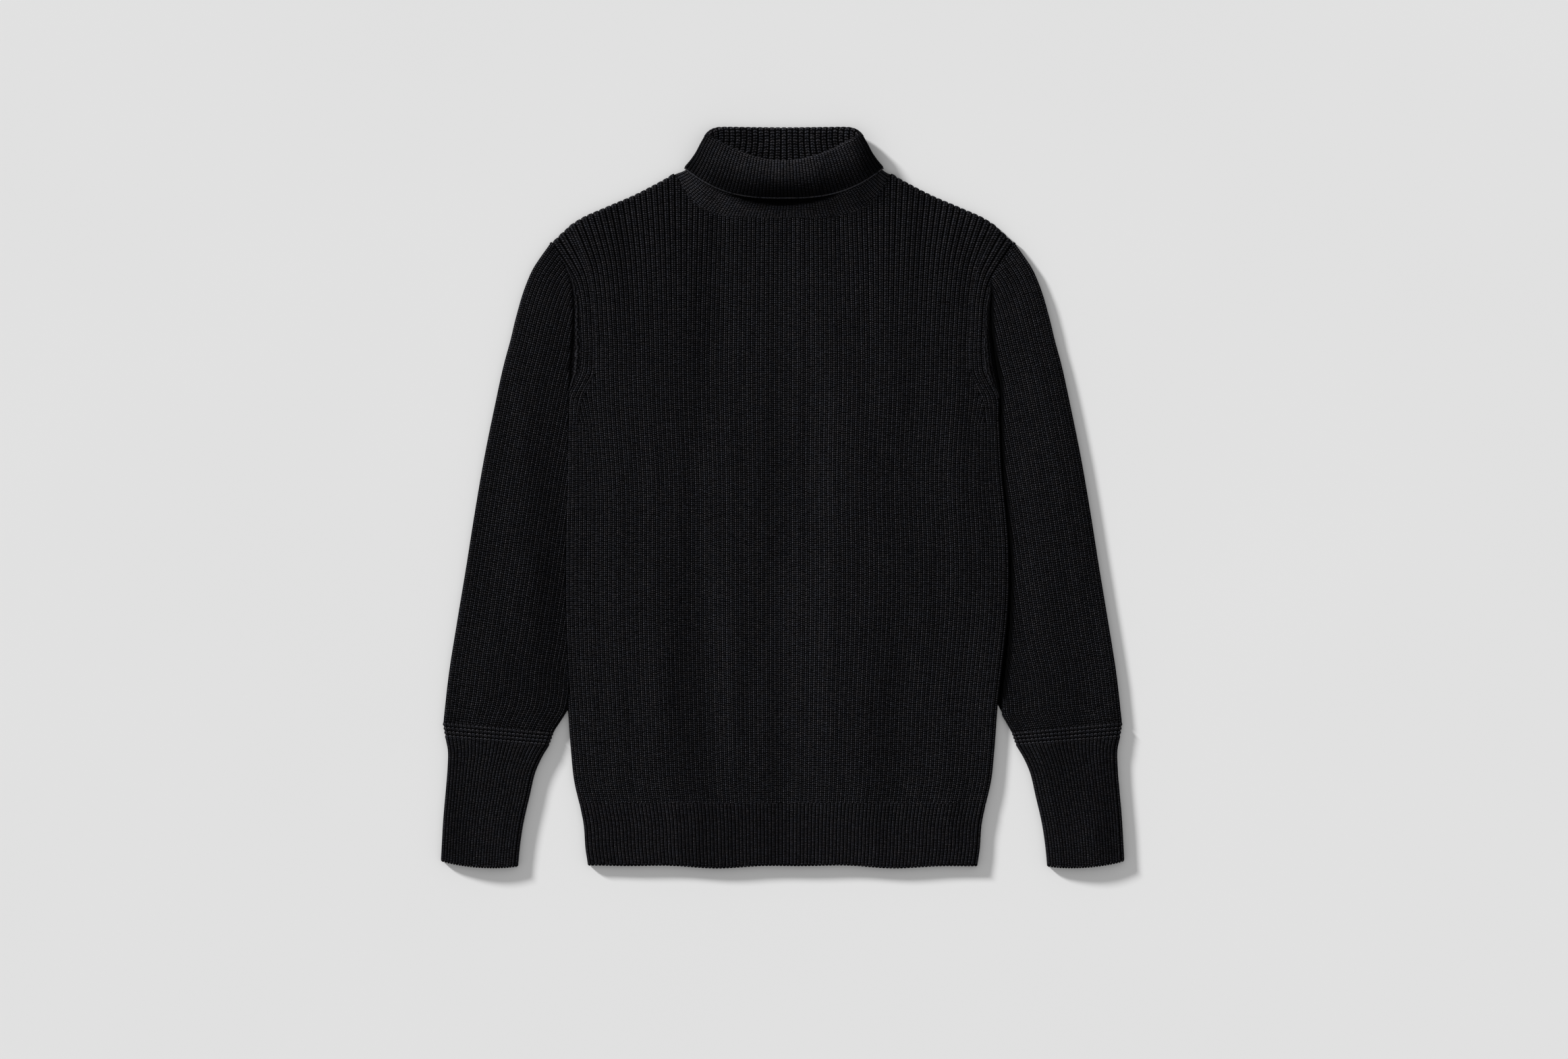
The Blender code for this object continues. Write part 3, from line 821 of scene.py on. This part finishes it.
def armhole_strip(side, hand):
    """The sleeve's cloth between the armhole's seam and the crease, which turns away downwards."""
    y = np.linspace(0.1000, 0.2500, 60)[:, None]
    across = np.linspace(0.0, 1.0, 19)[None, :]
    seam = read(BODY_SIDE, "y", "half_width", y) - 0.0006
    gap = GAP * smooth_step((0.208 - y) / 0.020) if side == "right" else -0.0015
    crease = np.maximum(read(SLEEVE_INNER, "y", side, y) - gap, seam + 0.0006)
    x = between(seam, crease, across)
    y = y * np.ones_like(across)
    depth = smooth_step((crease - seam) / 0.010)
    z = TOP_EDGE - 0.0006 + 0.0012 * np.sin(np.pi * np.minimum(1, across * 1.6)) * depth
    z = z - (TOP_EDGE - LOW_EDGE - 0.0004) * depth * smooth_step((across - 0.35) / 0.65)
    base = np.stack([x * hand, y, z], axis=2)
    ribs = y / STRIP_RIB + across * 1.6
    points = lifted(base, 0.0006 * rib_height(ribs) * hand)
    courses = across * 4.0 * np.ones_like(y)
    # Painted shade where the strip turns down into the crease
    shade = 1.0 - 0.65 * depth * smooth_step((across - 0.45) / 0.5)
    return dict(points=points, knit=np.stack([ribs, courses], axis=2), shade=shade)


def sleeve_underside(side, hand):
    """The sleeve's lower layer, on the floor, which reaches in under the body above the wrist."""
    points, _, s = outer_curve(160)
    y_inner = points[:, 1] - 0.008
    above_wrist = np.clip((y_inner + 0.2194) / 0.0172, 0.0, 1.0)
    inner = sleeve_edge(side, y_inner) + between(0.0012, -0.0075, above_wrist)
    share = np.linspace(0.0, 1.0, UNDER_COLUMNS)[None, :]
    x = between(points[:, [0]] - 0.001, inner[:, None], share)
    y = points[:, [1]] - 0.008 * share
    z = np.full_like(x, FLOOR_SIDE)
    z[:, 0] = LOW_EDGE
    z[:, -1] = between(LOW_EDGE, FLOOR_SIDE, above_wrist)
    ribs = share * SLEEVE_RIBS * np.ones_like(x)
    courses = s[:, None] * np.ones_like(x) / SLEEVE_COURSE
    # Painted shade: the inner part, which shows in the gap beside the body, is nearly black
    shade = 1.0 - 0.95 * smooth_step((share - 0.75) / 0.1) * np.ones_like(x)
    knit = np.stack([ribs, courses], axis=2)
    return dict(points=np.stack([x * hand, y, z], axis=2), knit=knit, face_down=True, shade=shade)


def cuff_piece(name, hand, rib_wool, purl_wool):
    ribs = rib_positions(0, CUFF_RIBS, RIB_STEPS)
    shares = ribs / CUFF_RIBS
    rows = np.concatenate([np.linspace(0.0, PURL_SHARE, 41), np.linspace(PURL_SHARE, 1.0, 60)[1:]])
    Station = namedtuple("Station", "at inner_x inner_y outer_x outer_y")
    lengths = np.cumsum([0] + [math.hypot(b.outer_x - a.outer_x, b.outer_y - a.outer_y)
                               for a, b in zip(CUFF, CUFF[1:])])
    stations = [Station(at / lengths[-1], *row) for at, row in zip(lengths, CUFF)]
    inner = np.stack([read(stations, "at", c, rows) for c in ("inner_x", "inner_y")], axis=1)
    outer = np.stack([read(stations, "at", c, rows) for c in ("outer_x", "outer_y")], axis=1)
    span = (outer - inner) / np.linalg.norm(outer - inner, axis=1, keepdims=True)
    start = inner + span * FOLD
    end = outer - span * FOLD
    plan = start[:, None] + (end - start)[:, None] * shares[None, :, None]
    plan[..., 1] -= CUFF_BOW * np.sin(np.pi * shares) ** 0.7 * rows[:, None] ** 3
    height = TOP_EDGE + 0.0016 * np.sin(np.pi * shares)[None, :] * np.ones((len(rows), 1))
    base = np.concatenate([plan, height[..., None]], axis=2)
    base = with_lip(base, LIP_ANGLES)
    span = np.concatenate([span] + [span[-1:]] * len(LIP_ANGLES))
    left, right = [], []
    for angle in SIDE_ANGLES:
        for turned, edge, way in ((left, base[:, 0], -1), (right, base[:, -1], 1)):
            column = edge.copy()
            column[:, :2] += way * span * FOLD * math.sin(angle)
            column[:, 2] = np.maximum(LOW_EDGE, edge[:, 2] - FOLD * (1 - math.cos(angle)) * FOLD_DEPTH)
            turned.append(column[:, None])
    base = np.concatenate(left[::-1] + [base] + right, axis=1)
    all_ribs = side_ribs(ribs, CUFF_RIB)
    travel = np.concatenate([rows, LIP_TRAVEL])
    courses = travel * lengths[-1] / CUFF_COURSE
    purl = travel <= PURL_SHARE
    rib_part = rib_height(all_ribs)[None, :] * HEM_RELIEF * 1.2
    zigzag = PURL_RISE * (1 - np.abs(2 * (all_ribs % 1.0) - 1))[None, :]
    ridge = np.clip(travel / PURL_SHARE, 0, 1)[:, None] * PURL_ROWS
    welt = np.abs(np.sin(np.pi * (ridge + zigzag))) ** 0.8
    purl_part = PURL_RELIEF * welt
    fade = smooth_step((travel - PURL_SHARE) / 0.02)[:, None]
    relief = np.where(purl[:, None], purl_part, rib_part * fade + (1 - fade) * purl_part)
    points = lifted(base, -relief)
    points[..., 0] *= hand
    knit = knit_grid(all_ribs[None, :], -courses[:, None])
    shade = np.full(points.shape[:2], CUFF_SHADE)
    split = int(np.sum(purl))
    # Painted light on the welts and painted shade in the valleys between them
    purl_shade = PURL_SHADE * between(0.08, 1.0, welt)
    purl_knit = knit_grid(all_ribs[None, :], -2 * ridge)
    patches = [
        dict(points=points[:split], knit=purl_knit[:split], shade=purl_shade[:split], slot=1),
        dict(points=points[split - 1:], knit=knit[split - 1:], shade=shade[split - 1:]),
    ]
    under_rows = np.append(np.arange(0, len(rows), 4), len(base) - 2)
    under_columns = np.append(np.arange(0, len(all_ribs) - 1, 8), len(all_ribs) - 1)
    coarse = np.ix_(under_rows, under_columns)
    under = base[coarse]
    under[:, 1:-1, 2] = FLOOR_SIDE
    under[..., 0] *= hand
    patches.append(dict(points=under, knit=knit[coarse], face_down=True))
    # The cuff's first row reaches in under the sleeve's end, darker with painted shade
    tucked = points[:1].copy()
    toward = (plan[0] - plan[6]).mean(axis=0)
    toward /= np.linalg.norm(toward)
    middle_x = tucked[..., 0].mean()
    tucked[..., 0] = middle_x + (tucked[..., 0] - middle_x) * TUCK_WIDTH + toward[0] * hand * CUFF_TUCK
    tucked[..., 1] += toward[1] * CUFF_TUCK
    tucked[..., 2] = np.maximum(TUCK_FLOOR, tucked[..., 2] - TUCK_DROP)
    reach = np.concatenate([tucked, points[:1]])
    patches.append(dict(points=reach, knit=purl_knit[[0, 0]], shade=shade[:2] * 0.5, slot=1))
    return cloth_mesh(name, patches, [rib_wool, purl_wool])


# Rollneck

def ring(row, share, front):
    """Give half a ring of the rollneck at even shares of its length, from right to left."""
    turn = np.linspace(0.0, math.pi, 400)
    c = np.cos(turn)
    reach = row["y_front"] if front else row["y_back"]
    level = row["z_front"] if front else row["z_back"]
    square = row["square"] if front else COLLAR_BACK_SQUARE
    lean = COLLAR_LEAN * smooth_step((COLLAR_STAND[1].half_width - row["half_width"]) / 0.010)
    x = row["half_width"] * c + lean * np.clip(c, 0.0, 1.0)
    y = between(row["y_side"], reach, 1 - np.abs(c) ** square)
    z = between(row["z_side"], level, np.sqrt(np.maximum(0.0, 1 - np.abs(c) ** 4)))
    points = np.stack([x, y, z], axis=1)
    steps = np.linalg.norm(np.diff(points, axis=0), axis=1)
    length = np.concatenate([[0], np.cumsum(steps)])
    at = share * length[-1]
    return np.stack([np.interp(at, length, points[:, k]) for k in range(3)], axis=1)


def collar_rows(table, count):
    """Read a rollneck table at even steps, as dictionaries of its columns."""
    Numbered = namedtuple("Numbered", ("number",) + CollarRow._fields)
    rows = [Numbered(k, *row) for k, row in enumerate(table)]
    at = np.linspace(0, len(table) - 1, count)
    values = {c: read(rows, "number", c, at) for c in CollarRow._fields}
    return [{c: values[c][k] for c in values} for k in range(count)]


def neckband():
    """The stand's outer side: closer ribs than the flap's, with a painted shadow where the flap hangs over
    it.
    """
    ribs = rib_positions(0, NECKBAND_RIBS, FINE_STEPS)
    share = ribs / NECKBAND_RIBS
    base = np.stack([ring(row, share, True) for row in collar_rows(COLLAR_STAND, STAND_ROWS)])
    steps = np.linalg.norm(np.diff(base, axis=0), axis=2).mean(axis=1)
    courses = np.concatenate([[0], np.cumsum(steps)]) / COLLAR_COURSE
    points = lifted(base, -NECKBAND_RELIEF * rib_height(ribs)[None, :] * np.ones((len(base), 1)))
    middle = np.sin(np.pi * share)[None, :]
    edge = ring(collar_rows(COLLAR_FLAP, 2)[1], share, True)[None, :, 1] - FLAP_SHADOW_REACH * middle ** 3
    # Painted shadow under the flap's edge, deepest in the middle; painted shade on the first rows by the
    # body
    painted_light = 1.0 - 0.93 * smooth_step((base[..., 1] - edge) / 0.0018 + 0.5) * smooth_step(middle * 2 - 0.7)
    painted_light = 1.12 * painted_light * (0.55 + 0.45 * smooth_step(np.arange(len(base)) / 3.0))[:, None]
    return dict(points=points, knit=knit_grid(ribs[None, :], courses[:, None]), shade=painted_light)


def rollneck_piece(fine, coarse):
    ribs = rib_positions(0, COLLAR_RIBS, FINE_STEPS)
    share = ribs / COLLAR_RIBS
    patches = []
    for front in (True, False):
        stand = np.stack([ring(row, share, front) for row in collar_rows(COLLAR_STAND, STAND_ROWS)])
        flap = np.stack([ring(row, share, front) for row in collar_rows(COLLAR_FLAP, FLAP_ROWS)])
        inner, outer = stand[-1], flap[0]
        radius = np.linalg.norm(outer - inner, axis=1) / 2
        turns = []
        for k in range(1, COLLAR_TURN_STEPS):
            t = k / COLLAR_TURN_STEPS
            row = between(inner, outer, (1 - math.cos(math.pi * t)) / 2)
            row[:, 1] += radius * math.sin(math.pi * t)
            turns.append(row[None])
        base = np.concatenate([stand] + turns + [flap])
        # The bound edge of the flap curls under
        heading = base[-1] - base[-3]
        heading /= np.linalg.norm(heading, axis=1, keepdims=True)
        curls = []
        down = np.array([0.0, 0.0, -1.0 if front else 0.4])
        for angle in CURL_ANGLES:
            turn = math.radians(angle)
            bend = heading * math.sin(turn) + down * (1 - math.cos(turn))
            curls.append((base[-1] + CURL * bend)[None])
        base = np.concatenate([base] + curls)
        steps = np.linalg.norm(np.diff(base, axis=0), axis=2).mean(axis=1)
        courses = np.concatenate([[0], np.cumsum(steps)]) / COLLAR_COURSE
        inside = np.zeros(len(base))
        if not front:
            inside[:len(stand) + COLLAR_TURN_STEPS // 2] = 1.0
        fine_relief = FINE_RELIEF * rib_height(ribs)[None, :]
        rough_ribs = ribs * INSIDE_RIBS / COLLAR_RIBS
        rough_relief = COARSE_RELIEF * rib_height(rough_ribs)[None, :]
        relief = np.where(inside[:, None] > 0, rough_relief, fine_relief * np.ones((len(base), 1)))
        side = np.full((len(base), 1), -1.0)
        if front:
            side[len(stand):] = 1.0
        relief[-BOUND_ROWS:] *= 0.2
        points = lifted(base, relief * side)
        fine_knit = knit_grid(ribs[None, :], courses[:, None])
        fine_knit[-BOUND_ROWS:, :, 0] = np.floor(ribs)[None, :] + 0.25
        fine_knit[-BOUND_ROWS:, :, 1] = 0.5
        if front:
            # Painted shade darkens the flap towards its lower middle, where it turns away from the light,
            # and towards its ends; a painted highlight runs along the bound edge
            middle = np.sin(np.pi * share)[None, :] ** 2
            below = np.linspace(0.0, 1.0, len(base) - len(stand) - len(curls))[:, None]
            painted_light = 1.10 - (0.24 + 0.38 * middle) * smooth_step((below - 0.30) / 0.65)
            edge_highlight = np.ones((len(curls), 1)) * (1.7 - 0.5 * middle)
            painted_light = np.concatenate([painted_light, edge_highlight])
            painted_light = painted_light * between(0.60, 1.0, smooth_step(np.minimum(share, 1 - share) / 0.14))[None, :]
            painted_light[-BOUND_ROWS] *= 1.3
            patches.append(dict(points=points[len(stand):], knit=fine_knit[len(stand):], shade=painted_light))
            patches.append(neckband())
        else:
            split = len(stand) + COLLAR_TURN_STEPS // 2
            rough_knit = knit_grid(rough_ribs[None, :], courses[:, None] * 0.62)
            patches.append(dict(points=points[:split], knit=rough_knit[:split], slot=1))
            patches.append(dict(points=points[split - 1:], knit=fine_knit[split - 1:], face_down=True))
    return cloth_mesh("rollneck_knit", patches, [fine, coarse])


# Room

PAPER_DARK = (0.790, 0.790, 0.790, 1.0)
PAPER_LIGHT = (0.810, 0.810, 0.810, 1.0)
SENSOR = 36.0
LENS = 135.0
VIEW_WIDTH = 1.580              # width of floor in view
VIEW_X = 0.0014
VIEW_Y = -0.0323
WORLD_STRENGTH = 0.47
KEY_STRENGTH = 5.36
KEY_HEIGHT = math.radians(16)   # of the light above the floor
KEY_TURN = math.radians(230)    # the light comes from the upper left
KEY_SOFTNESS = math.radians(7)


def floor_material():
    material = bpy.data.materials.new("floor_paper")
    material.use_nodes = True
    nodes = Nodes(material)
    shader = material.node_tree.nodes["Principled BSDF"]
    place = nodes.new("ShaderNodeTexCoord").outputs["Object"]
    paper = nodes.ramp(nodes.noise(place, 3.0), (0.0, PAPER_DARK), (1.0, PAPER_LIGHT))
    nodes.put(shader.inputs["Base Color"], paper)
    shader.inputs["Roughness"].default_value = 0.9
    shader.inputs["Specular IOR Level"].default_value = 0.1
    return material


def build_room():
    bpy.ops.mesh.primitive_plane_add(size=12, location=(0, 0, 0))
    floor = bpy.context.object
    floor.name = "floor"
    floor.data.materials.append(floor_material())
    world = bpy.data.worlds.new("studio")
    bpy.context.scene.world = world
    world.use_nodes = True
    background = world.node_tree.nodes["Background"]
    background.inputs["Color"].default_value = (1.0, 1.0, 1.0, 1.0)
    background.inputs["Strength"].default_value = WORLD_STRENGTH
    key = bpy.data.lights.new("key", "SUN")
    key.energy = KEY_STRENGTH
    key.angle = KEY_SOFTNESS
    lamp = bpy.data.objects.new("key", key)
    bpy.context.scene.collection.objects.link(lamp)
    lamp.rotation_euler = (math.pi / 2 - KEY_HEIGHT, 0, KEY_TURN)
    bpy.context.scene.view_settings.view_transform = "Standard"
    camera = bpy.data.cameras.new("camera")
    camera.lens = LENS
    camera.sensor_width = SENSOR
    view = bpy.data.objects.new("camera", camera)
    bpy.context.scene.collection.objects.link(view)
    view.location = (VIEW_X, VIEW_Y, LENS / SENSOR * VIEW_WIDTH)
    bpy.context.scene.camera = view


# The flat cut of what shows of each piece, in metres: a tube's width is all round
Cut = namedtuple("Cut", "node width length area held rests_on")

body_wool = knit_wool("body_wool", 0.34, row_depth=0.92, furrow_width=0.17, groove_depth=0.80)
sleeve_wool = knit_wool("sleeve_wool", 0.34, row_depth=0.92, furrow_width=0.18, groove_depth=0.80)
fine_wool = knit_wool("fine_rib_wool", 0.28, row_depth=0.80, furrow_width=0.28, groove_depth=0.35)
cuff_wool = knit_wool("cuff_wool", 0.28, row_depth=0.85, furrow_width=0.29, groove_depth=0.55)
coarse_wool = knit_wool("inside_neck_wool", 0.30, row_depth=0.90, furrow_width=0.28, groove_depth=0.45)
purl_wool = knit_wool("purl_wool", 2 * PURL_RISE, row_depth=0.75, furrow_width=0.20, groove_depth=0.20,
                      jitter=0.3, purl=True)

pieces = {
    "front": front_piece(body_wool),
    "back": back_piece(body_wool),
    "hem_rib_front": hem_piece("hem_front_knit", cuff_wool, True),
    "hem_rib_back": hem_piece("hem_back_knit", cuff_wool, False),
    "rollneck": rollneck_piece(fine_wool, coarse_wool),
}
for hand, side in ((-1, "left"), (1, "right")):
    pieces["sleeve_" + side] = sleeve_piece("sleeve_%s_knit" % side, hand, sleeve_wool)
    pieces["cuff_" + side] = cuff_piece("cuff_%s_knit" % side, hand, cuff_wool, purl_wool)
for node, piece in pieces.items():
    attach(piece, "root")
    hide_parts(node)
build_room()
